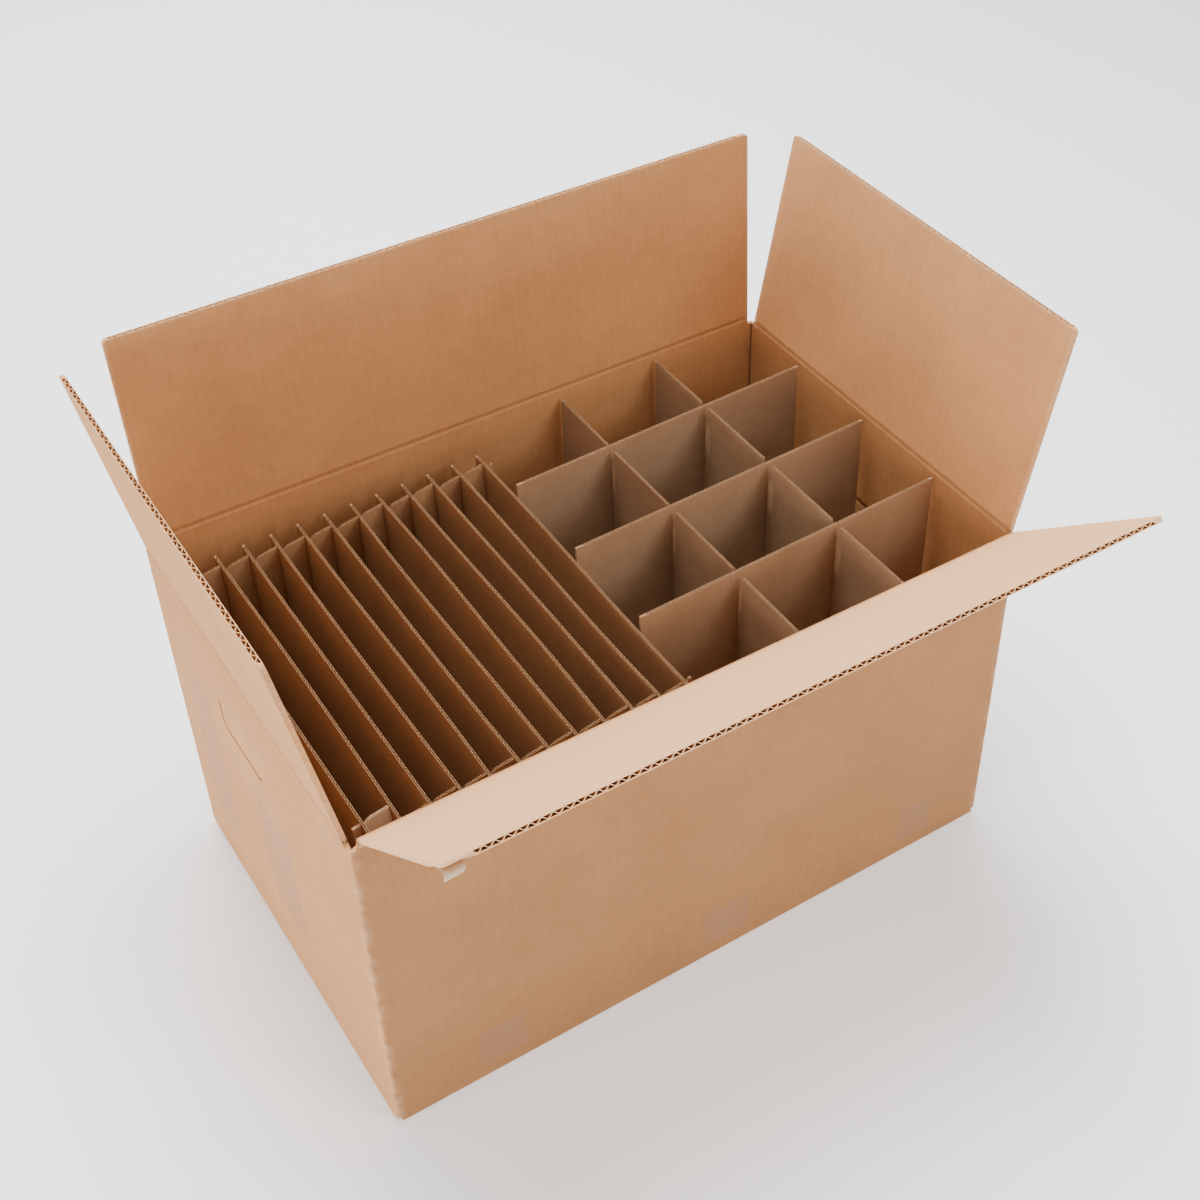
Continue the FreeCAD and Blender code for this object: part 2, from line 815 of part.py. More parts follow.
def make_rack_sheet(index):
    body = new_body(f"rack_sheet_{index + 1:02d}")
    half_slot = S["rack_board"] / 2 + S["comb_slot_play"]
    corners = [(SHEET_FRONT, ZERO)]
    for comb in (FRONT_COMB, BACK_COMB):
        corners += slot_from_below(comb, half_slot, ZERO, RACK_HEIGHT / 2)
    corners += [(SHEET_BACK, ZERO), (SHEET_BACK, RACK_HEIGHT), (SHEET_FRONT, RACK_HEIGHT)]
    outline = draw(body, "YZ_Plane", body.Name + "_outline", [corners])
    pad(body, body.Name + "_board", outline, S["rack_board"], both_ways=True)
    place(body, FIRST_SHEET + S["sheet_pitch"] * index, ZERO, FLOOR)
    return body


def make_inserts():
    bodies = [make_long_divider(row) for row in range(LONG_DIVIDERS)]
    bodies += [make_cross_divider(column) for column in range(CROSS_DIVIDERS)]
    bodies.append(make_rack_comb("rack_comb_front", FRONT_COMB))
    bodies.append(make_rack_comb("rack_comb_back", BACK_COMB))
    bodies += [make_rack_sheet(index) for index in range(int(S["sheet_count"].value))]
    return bodies


def check(bodies):
    """stop before anything is written if an object failed or a solid isn't sound"""
    for thing in doc.Objects:
        if {"Invalid", "Error"} & set(thing.State):
            raise RuntimeError(f"{thing.Name} failed: {thing.State}")
    for body in bodies:
        if body.Shape.isNull() or not body.Shape.isValid():
            raise RuntimeError(f"{body.Label} has no sound shape")
        if len(body.Shape.Solids) != 1:
            raise RuntimeError(f"{body.Label} has {len(body.Shape.Solids)} solids")


def write(bodies):
    os.makedirs("parts", exist_ok=True)
    for body in bodies:
        body.Shape.exportStep(f"parts/{body.Label}.step")
        box = body.Shape.BoundBox
        print(
            f"{body.Label}: volume {body.Shape.Volume / 1000:.1f} cm3,"
            f" X {box.XMin:.1f} to {box.XMax:.1f}, Y {box.YMin:.1f} to {box.YMax:.1f},"
            f" Z {box.ZMin:.1f} to {box.ZMax:.1f}"
        )


def main():
    bodies = [make_box_shell()]
    bodies += make_flaps()
    bodies += make_inserts()
    doc.recompute()
    check(bodies)
    write(bodies)


main()
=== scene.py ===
# %% [markdown]
# A corrugated shipping carton, open, with a rack for plates in its left half and cells for
# bottles in its right half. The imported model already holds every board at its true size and
# place. This lesson gives each board what a solid can't show: the wavy paper inside it,
# the stretched paper over its folds, and the fibres, stains and wear of brown kraft paper.

import json
import math
import random

import bmesh
import bpy
from mathutils import Euler, Matrix, Vector, noise

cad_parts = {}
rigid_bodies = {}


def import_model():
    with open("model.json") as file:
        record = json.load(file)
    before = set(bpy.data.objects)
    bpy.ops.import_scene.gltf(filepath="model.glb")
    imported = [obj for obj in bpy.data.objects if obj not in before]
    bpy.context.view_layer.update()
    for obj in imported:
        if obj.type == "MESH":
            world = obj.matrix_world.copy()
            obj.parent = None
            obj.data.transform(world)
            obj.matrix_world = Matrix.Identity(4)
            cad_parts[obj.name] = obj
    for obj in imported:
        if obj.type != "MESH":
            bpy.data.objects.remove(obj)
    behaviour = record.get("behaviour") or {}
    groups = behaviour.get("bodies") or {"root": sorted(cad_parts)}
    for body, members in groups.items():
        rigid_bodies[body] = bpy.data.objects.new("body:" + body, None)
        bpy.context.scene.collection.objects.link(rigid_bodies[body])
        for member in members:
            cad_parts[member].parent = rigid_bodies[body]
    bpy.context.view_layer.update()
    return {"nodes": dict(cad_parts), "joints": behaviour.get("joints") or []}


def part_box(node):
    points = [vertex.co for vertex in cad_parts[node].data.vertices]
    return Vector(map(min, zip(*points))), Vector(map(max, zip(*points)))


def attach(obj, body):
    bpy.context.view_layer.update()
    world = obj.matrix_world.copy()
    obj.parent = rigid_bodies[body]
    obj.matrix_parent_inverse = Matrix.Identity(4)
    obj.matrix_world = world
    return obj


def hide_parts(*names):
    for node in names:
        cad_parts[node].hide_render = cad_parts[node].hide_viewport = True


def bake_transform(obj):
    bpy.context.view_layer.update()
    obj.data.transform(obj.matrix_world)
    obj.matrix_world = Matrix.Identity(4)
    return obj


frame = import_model()
nodes = frame["nodes"]

# %% [markdown]
# The photograph was taken from above, from beyond the carton's front left corner. Its lens
# and place were worked out from the carton's own corners, so the camera here is set to
# plain numbers. The picture was cropped off centre, and the small shift stands for that.

# %% Camera
PHOTO_PIXELS = 1200
SENSOR_WIDTH = 36.0
FOCAL_PIXELS = 1820.0
PRINCIPAL_POINT = (689.0, 559.7)
CAMERA_PLACE = (-0.5492, -0.9766, 1.3049)
CAMERA_TURN = (48.597, -0.295, -33.477)

camera_data = bpy.data.cameras.new("studio_camera")
camera_data.sensor_width = SENSOR_WIDTH
camera_data.lens = FOCAL_PIXELS / PHOTO_PIXELS * SENSOR_WIDTH
camera_data.shift_x = 0.5 - PRINCIPAL_POINT[0] / PHOTO_PIXELS
camera_data.shift_y = PRINCIPAL_POINT[1] / PHOTO_PIXELS - 0.5
camera = bpy.data.objects.new("studio_camera", camera_data)
camera.location = CAMERA_PLACE
camera.rotation_euler = Euler(map(math.radians, CAMERA_TURN))
bpy.context.scene.collection.objects.link(camera)
bpy.context.scene.camera = camera
print("lens:", round(camera_data.lens, 1), "mm")

# %% [markdown]
# A material is a small graph of nodes. Written call by call, even a short sum takes a dozen
# lines, so two classes keep it readable. A Wire is one output, and arithmetic on it adds
# Math nodes. A Tree holds the graph, and its node method makes any other node from its
# type, its settings and what goes into its sockets. Geometry uses the same two classes.

# %% Node expressions
class Wire:
    """one output of a node tree, on which Python's operators add Math nodes"""

    def __init__(self, tree, socket):
        self.tree = tree
        self.socket = socket

    def math(self, operation, *others):
        return self.tree.math(operation, self, *others)

    def __add__(self, other):
        return self.math("ADD", other)

    def __sub__(self, other):
        return self.math("SUBTRACT", other)

    def __rsub__(self, other):
        return self.tree.math("SUBTRACT", other, self)

    def __mul__(self, other):
        return self.math("MULTIPLY", other)

    def __truediv__(self, other):
        return self.math("DIVIDE", other)

    def __abs__(self):
        return self.math("ABSOLUTE")

    def step(self, start, end):
        """a soft step from 0 at start to 1 at end"""
        sockets = {0: self, 1: start, 2: end}
        settings = {"interpolation_type": "SMOOTHSTEP"}
        return self.tree.out("ShaderNodeMapRange", settings, sockets)


class Tree:
    """a node tree that is filled by expressions"""

    def __init__(self, tree):
        self.tree = tree

    def node(self, kind, settings=None, inputs=None):
        made = self.tree.nodes.new(kind)
        for name, value in (settings or {}).items():
            setattr(made, name, value)
        for name, value in (inputs or {}).items():
            self.feed(made.inputs[name], value)
        return made

    def feed(self, socket, value):
        if isinstance(value, Wire):
            self.tree.links.new(value.socket, socket)
        else:
            socket.default_value = value

    def out(self, kind, settings=None, inputs=None, output=0):
        return Wire(self, self.node(kind, settings, inputs).outputs[output])

    def math(self, operation, *values):
        return self.out("ShaderNodeMath", {"operation": operation}, dict(enumerate(values)))

    def vector(self, operation, *values, output=0):
        settings = {"operation": operation}
        return self.out("ShaderNodeVectorMath", settings, dict(enumerate(values)), output)

    def joined(self, x, y, z):
        return self.out("ShaderNodeCombineXYZ", None, {0: x, 1: y, 2: z})

    def parts(self, vector):
        made = self.node("ShaderNodeSeparateXYZ", None, {0: vector})
        return [Wire(self, socket) for socket in made.outputs]

    def mix(self, factor, first, second):
        """first where the factor is 0, second where it is 1; both are colours"""
        sockets = {"Factor_Float": factor, "A_Color": first, "B_Color": second}
        made = self.tree.nodes.new("ShaderNodeMix")
        made.data_type = "RGBA"
        by_identifier = {socket.identifier: socket for socket in made.inputs}
        for name, value in sockets.items():
            self.feed(by_identifier[name], value)
        result = next(s for s in made.outputs if s.identifier == "Result_Color")
        return Wire(self, result)

    def noise(self, place, scale, detail=3.0, roughness=0.5):
        sockets = {"Vector": place, "Scale": scale, "Detail": detail, "Roughness": roughness}
        return self.out("ShaderNodeTexNoise", {"noise_dimensions": "3D"}, sockets)


print("helpers ready")

# %% [markdown]
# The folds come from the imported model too. Each flap turns about its score line, and the
# joint's lower limit is the closed flap, level at 90 degrees inwards. The difference tells
# how far the flap stands open at rest, and from that follows the frame that it lies in.

# %% Where the flaps stand
MM = 0.001
BOARD = 4 * MM
FULLY_CLOSED = 90.0


class Fold:
    """one flap's score line: its middle, its direction and the flap's resting angle"""

    def __init__(self, joint):
        self.name = joint["name"].split("_")[1]
        self.flap = "flap_" + self.name
        self.parent = joint["parent"]
        self.child = joint["child"]
        self.middle = Vector(joint["pos_m"])
        self.axis = Vector(joint["axis"])
        self.rest = math.radians(-joint["range_deg"][0] - FULLY_CLOSED)
        self.up = self.turned(self.rest) @ Vector((0, 0, 1))
        self.along = Vector((1, 0, 0)) if abs(self.axis.x) > 0.5 else Vector((0, 1, 0))
        corners = [corner.co - self.middle for corner in nodes[self.flap].data.vertices]
        self.half = max(corner.dot(self.along) for corner in corners)
        self.reach = max(corner.dot(self.up) for corner in corners)

    def turned(self, angle):
        return Matrix.Rotation(angle, 3, self.axis)

    def point(self, along, up, out, angle):
        """a place beside the score line: up the board and out of its face, with the board
        turned by an angle about the line"""
        upright = Vector((0, 0, 1))
        outward = self.axis.cross(upright)
        here = self.turned(angle) @ (upright * up + outward * out)
        return self.middle + self.along * along + here


folds = {fold.name: fold for fold in map(Fold, frame["joints"])}
for fold in folds.values():
    print(fold.flap, "open", round(math.degrees(fold.rest), 1), "reach", round(fold.reach, 4))

# %% [markdown]
# Kraft paper is brown wood fibre. Close up it shows long pale and dark fibres that run
# along the paper's own direction, and small dark flecks. From further off it shows soft
# clouds and, every 8 mm, a faint upright line where the wave behind it is glued: raised in
# the relief, with a little shade painted along it. One function makes that paper for every
# board, from the direction that its waves follow. What is special about one board, such as
# a worn edge, is laid over it as marks.

# %% Kraft paper
FLUTE_PITCH = 8 * MM
INSERT_PITCH = 5 * MM
PER_MM = 1 / MM
ROUGHNESS = 0.84
GLOSS = 0.2


def no_marks(paper, colour, relief):
    return colour, relief


class Paper(Tree):
    """the colour and relief of kraft paper on one board"""

    def __init__(self, name, dark, light):
        self.material = bpy.data.materials.new(name)
        self.material.use_nodes = True
        super().__init__(self.material.node_tree)
        self.tree.nodes.clear()
        self.place = self.out("ShaderNodeTexCoord", output=3)
        self.facing = self.parts(self.out("ShaderNodeTexCoord", output=1))
        self.x, self.y, self.z = self.parts(self.place)
        self.dark = (*dark, 1.0)
        self.light = (*light, 1.0)

    def across(self, direction, start=(0, 0, 0)):
        """how far a point lies from the start along a direction, in metres"""
        along = self.vector("DOT_PRODUCT", self.place, tuple(direction), output=1)
        return along - Vector(start).dot(Vector(direction))

    def sheet(self, waves_along_x, pitch):
        """fibres, clouds and wave lines of a board whose waves follow X or Y"""
        long_fibres = (0.12, 1.6, 1.6) if waves_along_x else (1.6, 0.12, 1.6)
        stretched = self.vector("MULTIPLY", self.place, long_fibres)
        clouds = self.noise(self.place, 0.012 * PER_MM, 3.0)
        patches = self.noise(self.place, 0.09 * PER_MM, 4.0, 0.6)
        fibres = self.noise(stretched, 1.1 * PER_MM, 3.0, 0.65)
        wander = self.noise(self.place, 0.02 * PER_MM, 1.0) * 0.2
        phase = (self.x if waves_along_x else self.y) / pitch + wander
        wave = (phase * math.tau).math("COSINE")
        return clouds, patches, fibres, wave

    def finish(self, colour, height):
        sockets = {"Height": height, "Distance": MM, "Strength": 1.0}
        bump = self.out("ShaderNodeBump", None, sockets)
        sockets = {"Base Color": colour, "Normal": bump, "Roughness": ROUGHNESS}
        shader = self.out("ShaderNodeBsdfPrincipled", None, sockets)
        shader.socket.node.inputs["Specular IOR Level"].default_value = GLOSS
        self.node("ShaderNodeOutputMaterial", None, {"Surface": shader})
        return self.material

    def kraft(self, sheets, marks=no_marks):
        """the finished material, from a board's (clouds, patches, fibres, wave)"""
        clouds, patches, fibres, wave = sheets
        self.patches = patches
        flecks = self.noise(self.place, 0.9 * PER_MM, 2.0, 0.7).step(0.66, 0.74)
        # the wave term paints a little shade along each line of the wave
        tone = clouds * 0.5 + patches * 0.35 + fibres * 0.4 - wave * 0.025 - 0.12
        colour = self.mix(tone, self.dark, self.light)
        darker = tuple(channel * 0.55 for channel in self.dark[:3])
        colour = self.mix(flecks * 0.3, colour, (*darker, 1.0))
        relief = fibres * 0.05 + patches * 0.05 + wave * 0.03
        return self.finish(*marks(self, colour, relief))


KRAFT_DARK = (0.37, 0.162, 0.060)
KRAFT_LIGHT = (0.68, 0.345, 0.140)
print("paper ready")

# %% [markdown]
# The walls carry marks of use and painted shade. The four upright folds are rubbed pale
# outside, with shade painted into their inner corners; shade is also painted over the long
# walls' outer faces and into the hand hole's cut, whose paper is pressed in. The print on the
# left and front walls has rubbed off to faint fields of grey. What was printed isn't repeated:
# two mottled fields, a thin frame and three squares stand in for it. Each mark is a mask from
# 0 to 1 made of soft steps.

# %% Marks on the walls
PRINT_GREY = (0.29, 0.19, 0.165, 1.0)
SCUFFED = (0.70, 0.45, 0.27, 1.0)
SHADE = (0.13, 0.055, 0.022, 1.0)
HALF_LENGTH = 300 * MM
HALF_WIDTH = 190 * MM
# places as (low, high) along Y and then Z on the left wall, and along X and then Z in front
FIELDS = (((0.098, 0.150), (0.055, 0.245)), ((-0.045, 0.020), (0.080, 0.205)))
FRAME = ((-0.165, -0.070), (0.035, 0.200))
FRAME_LINE = 1.5 * MM
SQUARES = ((-0.222, -0.180), (-0.004, 0.040), (0.205, 0.240))
SQUARES_HEIGHT = (0.018, 0.060)
# the middle of the hand hole's cut: its two ends along Y, its level, its bend and its top
SLIT_FRONT, SLIT_BACK = -10 * MM, 63.3 * MM
SLIT_LEVEL = 241.7 * MM
SLIT_BEND = 11.3 * MM
SLIT_TOP = 269.5 * MM


def span(value, low, high, soft=1.5 * MM):
    """1 between low and high, falling to 0 over a soft edge"""
    return value.step(low - soft, low + soft) * (1 - value.step(high - soft, high + soft))


def patch(across, height, places, inset=0.0):
    """1 inside a rectangle given as ((low, high), (low, high)), drawn in by an inset"""
    (left, right), (bottom, top) = places
    wide = span(across, left + inset, right - inset)
    return wide * span(height, bottom + inset, top - inset)


def from_face(value, half, deep, shallow):
    """0 deeper under the outer face than one depth, 1 above the other; in millimetres"""
    return abs(value).step(half - deep * MM, half - shallow * MM)


def on_low_face(value, half):
    """1 on the left wall's or the front wall's outer face alone"""
    return 1 - value.step(-half + 0.2 * MM, -half + 0.8 * MM)


def wall_print(paper):
    """the worn print: two mottled fields and a frame on the left wall, squares in front"""
    worn = paper.noise(paper.place, 0.16 * PER_MM, 5.0, 0.7)
    fields = patch(paper.y, paper.z, FIELDS[0]) + patch(paper.y, paper.z, FIELDS[1])
    line = patch(paper.y, paper.z, FRAME) - patch(paper.y, paper.z, FRAME, FRAME_LINE)
    left = (fields * worn.step(0.40, 0.62) + line * 0.55) * on_low_face(paper.x, HALF_LENGTH)
    squares = span(paper.x, *SQUARES[0]) + span(paper.x, *SQUARES[1])
    squares = (squares + span(paper.x, *SQUARES[2])) * span(paper.z, *SQUARES_HEIGHT)
    front = squares * worn.step(0.30, 0.60) * on_low_face(paper.y, HALF_WIDTH)
    return left * 0.62 + front * 0.32


def slit_distance(paper):
    """how far a point of an end wall lies from the middle of the hand hole's cut"""
    beside = paper.y - (SLIT_BACK - SLIT_BEND)
    below = (SLIT_LEVEL + SLIT_BEND) - paper.z
    corner = paper.joined(beside.math("MAXIMUM", 0.0), below.math("MAXIMUM", 0.0), 0.0)
    outside = paper.vector("LENGTH", corner, output=1)
    inside = beside.math("MAXIMUM", below).math("MINIMUM", 0.0)
    return abs(outside + inside - SLIT_BEND)


def slit_marks(paper, colour, relief):
    """shade painted into the cut of the hand hole, and the paper that was pressed in beside it
    """
    away = slit_distance(paper)
    behind_front = paper.y.step(SLIT_FRONT - 2 * MM, SLIT_FRONT + 2 * MM)
    on_end = from_face(paper.x, HALF_LENGTH, 5, 4.5) * behind_front
    on_end = on_end * (1 - paper.z.step(SLIT_TOP - 1.5 * MM, SLIT_TOP + 1.5 * MM))
    # painted shade along the hand hole's cut
    cut = (1 - away.step(0.8 * MM, 2.1 * MM)) * on_end
    pressed = (1 - away.step(1.0 * MM, 4.0 * MM)) * on_end
    return paper.mix(cut * 0.85, colour, SHADE), relief - pressed * 0.5


def wall_marks(paper, colour, relief):
    # painted shade: the long walls' outer faces are darkened a little
    outer = from_face(paper.y, HALF_WIDTH, 1.5, 0.5)
    colour = paper.mix(outer * 0.36, colour, SHADE)
    colour = paper.mix(wall_print(paper), colour, PRINT_GREY)
    colour, relief = slit_marks(paper, colour, relief)
    fold_x = from_face(paper.x, HALF_LENGTH, 9.5, 2.5)
    fold_y = from_face(paper.y, HALF_WIDTH, 9.5, 2.5)
    pale_mark = fold_x * fold_y * paper.patches.step(0.35, 0.7)
    colour = paper.mix(pale_mark * 0.35, colour, SCUFFED)
    # painted shade in the inner corners of the upright folds
    corner_shade_x = from_face(paper.x, HALF_LENGTH, 5.5, 4.5)
    corner_shade_x = corner_shade_x * (1 - from_face(paper.x, HALF_LENGTH, 3.5, 2.5))
    corner_shade_y = from_face(paper.y, HALF_WIDTH, 6.0, 4.7)
    corner_shade_y = corner_shade_y * (1 - from_face(paper.y, HALF_WIDTH, 3.2, 2.0))
    return paper.mix(corner_shade_x * corner_shade_y * 0.8, colour, SHADE), relief


def shell_material():
    """the walls' paper: waves follow X on the long walls and Y on the end walls"""
    paper = Paper("kraft_carton", KRAFT_DARK, KRAFT_LIGHT)
    on_end = abs(paper.facing[0]).math("GREATER_THAN", 0.5)
    pairs = zip(paper.sheet(True, FLUTE_PITCH), paper.sheet(False, FLUTE_PITCH))
    sheets = [on_end * end + (1 - on_end) * long for long, end in pairs]
    return paper.kraft(sheets, wall_marks)


nodes["box_shell"].data.materials.clear()
nodes["box_shell"].data.materials.append(shell_material())
print("walls finished")

# %% [markdown]
# A flap wears at its free edge and its corners, where the paper frays and pales. The marks
# need the distance to those edges, so each flap gets its own material, measured from its
# score line. Along the score a fine dark line of shade is painted. The front flap lies open
# to the light, and painted light makes it paler than the others.

# %% Finish of the flaps
# painted light: the pale tint that makes the open front flap look lit
PAINTED_LIGHT = (0.90, 0.54, 0.29, 1.0)


def flap_marks(fold):
    def marks(paper, colour, relief):
        up = paper.across(fold.up, fold.middle)
        to_end = fold.reach - up
        to_side = fold.half - abs(paper.across(fold.along))
        to_edge = to_end.math("MINIMUM", to_side)
        frayed = paper.noise(paper.place, 0.35 * PER_MM, 4.0, 0.7)
        worn = (1 - to_edge.step(0.2 * MM, 3.2 * MM)) * frayed.step(0.35, 0.65)
        colour = paper.mix(worn * 0.5, colour, SCUFFED)
        # painted light over the front flap, away from its score
        if fold.name == "front":
            painted_light_mask = up.step(4 * MM, 12 * MM)
            colour = paper.mix(painted_light_mask * 0.5, colour, PAINTED_LIGHT)
        # painted shade: a fine dark line along the score, on both faces of the flap and its
        # skins
        stretched = (1 - abs(up).step(0.5 * MM, 2.6 * MM)) * frayed.step(0.2, 0.6)
        return paper.mix(stretched * 0.24, colour, SHADE), relief

    return marks


def flap_material(fold):
    paper = Paper("kraft_flap_" + fold.name, KRAFT_DARK, KRAFT_LIGHT)
    return paper.kraft(paper.sheet(abs(fold.along.x) > 0.5, FLUTE_PITCH), flap_marks(fold))


flap_finish = {}
for fold in folds.values():
    flap_finish[fold.name] = flap_material(fold)
    nodes[fold.flap].data.materials.clear()
    nodes[fold.flap].data.materials.append(flap_finish[fold.name])
print("flaps finished:", list(flap_finish))

# %% [markdown]
# The dividers and the rack are thinner board of a greyer, recycled paper. Their cut edges
# are dull, with pale worn spots where the fibres stand up. Pale streaks are painted down the
# faces of the cross dividers, below each crossing.

# %% Finish of the inserts
DIVIDER_DARK = (0.25, 0.15, 0.082)
DIVIDER_LIGHT = (0.49, 0.32, 0.19)
RACK_DARK = (0.22, 0.115, 0.055)
RACK_LIGHT = (0.50, 0.270, 0.125)
RAW_EDGE = (0.26, 0.145, 0.07, 1.0)
PALE_PAPER = (0.66, 0.45, 0.27, 1.0)
ROW_PITCH = 97 * MM
ROW_MIDDLE = 3 * MM


def edge_marks(top):
    def marks(paper, colour, relief):
        frayed = paper.noise(paper.place, 0.5 * PER_MM, 4.0, 0.7)
        worn = paper.z.step(top - 3 * MM, top - 0.4 * MM) * frayed.step(0.4, 0.65)
        colour = paper.mix(worn * 0.35, colour, PALE_PAPER)
        cut = paper.facing[2].step(0.5, 0.8)
        colour = paper.mix(cut * 0.85, colour, RAW_EDGE)
        curled = paper.out("ShaderNodeAttribute", {"attribute_name": "curled"}, output=2)
        return paper.mix(curled * 0.7, colour, PALE_PAPER), relief

    return marks


def crossing_marks(top):
    """edge marks, and pale streaks below each crossing with a long divider"""

    def marks(paper, colour, relief):
        colour, relief = edge_marks(top)(paper, colour, relief)
        rows = (paper.y - ROW_MIDDLE) / ROW_PITCH + 0.5
        behind = (0.5 - rows.math("FRACT")) * ROW_PITCH
        stretched = paper.vector("MULTIPLY", paper.place, (1.0, 1.0, 0.16))
        streaks = paper.noise(stretched, 0.3 * PER_MM, 3.0, 0.6).step(0.25, 0.5)
        fall = span(paper.z, top - 46 * MM, top - 16 * MM, 10 * MM)
        # pale streaks painted below each crossing
        pale_mark = span(behind, 1.0 * MM, 8.0 * MM, 2 * MM) * streaks * fall
        return paper.mix(pale_mark * 0.9, colour, PALE_PAPER), relief

    return marks


def insert_finish(name, along_x, dark, light, marks):
    paper = Paper(name, dark, light)
    return paper.kraft(paper.sheet(along_x, INSERT_PITCH), marks)


GRID_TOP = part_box("long_divider_1")[1].z
LOW_GRID_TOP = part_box("cross_divider_1")[1].z
RACK_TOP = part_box("rack_comb_front")[1].z
divider_papers = (DIVIDER_DARK, DIVIDER_LIGHT)
rack_papers = (RACK_DARK, RACK_LIGHT)
insert_finishes = {
    "long_divider": insert_finish("kraft_long", True, *divider_papers, edge_marks(GRID_TOP)),
    "cross_divider": insert_finish(
        "kraft_cross", False, *divider_papers, crossing_marks(LOW_GRID_TOP)
    ),
    "rack_comb": insert_finish("kraft_comb", True, *rack_papers, edge_marks(RACK_TOP)),
    "rack_sheet": insert_finish("kraft_sheet", False, *rack_papers, edge_marks(RACK_TOP)),
}
print("insert finishes:", list(insert_finishes))

# %% [markdown]
# Corrugated board is two liners with a wavy paper between them, and at a cut edge one looks
# into rows of small tunnels. The tunnels repeat all along the edge, which is work for
# Geometry Nodes. This class adds to a Tree what such a tree needs: named inputs, an end
# that makes real faces with a material, and a way to run it on a mesh.

# %% A tree with named inputs
class Grower(Tree):
    """a Geometry Nodes tree, its inputs given by name"""

    def __init__(self, name, inputs):
        group = bpy.data.node_groups.new(name, "GeometryNodeTree")
        super().__init__(group)
        entry = group.nodes.new("NodeGroupInput")
        self.identifiers = {}
        self.given = {}
        for label, kind in inputs.items():
            socket = group.interface.new_socket(
                label, in_out="INPUT", socket_type="NodeSocket" + kind
            )
            self.identifiers[label] = socket.identifier
        for label in inputs:
            self.given[label] = Wire(self, entry.outputs[label])
        group.interface.new_socket(
            "Geometry", in_out="OUTPUT", socket_type="NodeSocketGeometry"
        )

    def end(self, geometry):
        whole = self.out("GeometryNodeRealizeInstances", None, {"Geometry": geometry})
        sockets = {"Geometry": whole, "Material": self.given["Finish"]}
        dressed = self.out("GeometryNodeSetMaterial", None, sockets)
        self.node("NodeGroupOutput", None, {"Geometry": dressed})

    def grow(self, mesh, values):
        """what the tree makes of a mesh, as a plain mesh"""
        carrier = bpy.data.objects.new("carrier", mesh)
        bpy.context.scene.collection.objects.link(carrier)
        modifier = carrier.modifiers.new("grow", "NODES")
        modifier.node_group = self.tree
        for label, value in values.items():
            modifier[self.identifiers[label]] = value
        depsgraph = bpy.context.evaluated_depsgraph_get()
        grown = bpy.data.meshes.new_from_object(carrier.evaluated_get(depsgraph))
        bpy.data.objects.remove(carrier)
        return grown


print("grower ready")

# %% [markdown]
# One tunnel is shaped from a block, set out along two lines, one for each side of the wave,
# and taken out of the solid board. The wave is a cosine, and the tunnel's inner side stays
# half a paper's thickness off it, measured square to the slope.

# %% Tunnels at a cut edge
THINNEST = 0.08 * MM


def tunnel(tree, given):
    """one tunnel, wide at its liner and narrow where the wave comes up"""
    near = given["Thickness"] / 2 - given["Liner"]
    crest = near - given["Medium"] / 2
    size = tree.joined(given["Pitch"] * 0.88, given["Thickness"], given["Depth"] * 2)
    block = tree.out("GeometryNodeMeshCube", None, {"Size": size, "Vertices X": 7})
    along, across, up = tree.parts(tree.out("GeometryNodeInputPosition"))
    angle = along / given["Pitch"] * math.tau
    slope = crest * math.tau / given["Pitch"] * angle.math("SINE")
    half_medium = (slope * slope + 1).math("SQRT") * given["Medium"] / 2
    wave = (half_medium - crest * angle.math("COSINE")).math("MINIMUM", near - THINNEST)
    at_liner = across.math("GREATER_THAN", 0.0)
    side = at_liner * near + (1 - at_liner) * wave
    sockets = {"Geometry": block, "Position": tree.joined(along, side, up)}
    return tree.out("GeometryNodeSetPosition", None, sockets)


def open_flute_tree():
    inputs = {"Board": "Geometry", "Middle": "Vector", "Turn": "Float", "Length": "Float"}
    inputs |= {"Pitch": "Float", "Thickness": "Float", "Liner": "Float", "Medium": "Float"}
    inputs |= {"Depth": "Float", "Finish": "Material"}
    tree = Grower("open_flutes", inputs)
    given = tree.given
    count = (given["Length"] / given["Pitch"]).math("FLOOR") - 1
    start = tree.joined((count - 1) * given["Pitch"] * -0.5, 0.0, 0.0)
    step = tree.joined(given["Pitch"], 0.0, 0.0)
    sockets = {"Count": count, "Start Location": start, "Offset": step}
    line = tree.out("GeometryNodeMeshLine", None, sockets)
    sockets = {"Points": line, "Instance": tunnel(tree, given)}
    row = tree.out("GeometryNodeInstanceOnPoints", None, sockets)
    half_step = tree.joined(given["Pitch"] / 2, 0.0, 0.0)
    sockets = {"Geometry": row, "Translation": half_step, "Rotation": (0, 0, math.pi)}
    other_row = tree.out("GeometryNodeTransform", None, sockets)
    both = tree.node("GeometryNodeJoinGeometry")
    for part in (row, other_row):
        tree.feed(both.inputs[0], part)
    tunnels = tree.out(
        "GeometryNodeRealizeInstances", None, {"Geometry": Wire(tree, both.outputs[0])}
    )
    turn = tree.joined(0.0, 0.0, given["Turn"])
    sockets = {"Geometry": tunnels, "Translation": given["Middle"], "Rotation": turn}
    placed = tree.out("GeometryNodeTransform", None, sockets)
    settings = {"operation": "DIFFERENCE", "solver": "MANIFOLD"}
    sockets = {"Mesh 1": given["Board"], "Mesh 2": placed}
    tree.end(tree.out("GeometryNodeMeshBoolean", settings, sockets))
    return tree


open_flutes = open_flute_tree()
print("tree:", open_flutes.tree.name, "inputs:", list(open_flutes.identifiers))

# %% [markdown]
# No board of the rack is quite flat in the photograph. A flat board has corners only at
# its outline, so it is first divided by planes, then its tunnels are opened, and then its
# points are moved by a rule. The new board takes the place of the solid one.

# %% Boards that can bend
INSERT_BOARD = 2 * MM
INSERT_LINER = 0.3 * MM
INSERT_MEDIUM = 0.24 * MM
TUNNEL_DEPTH = 12 * MM
chance = random.Random(11)


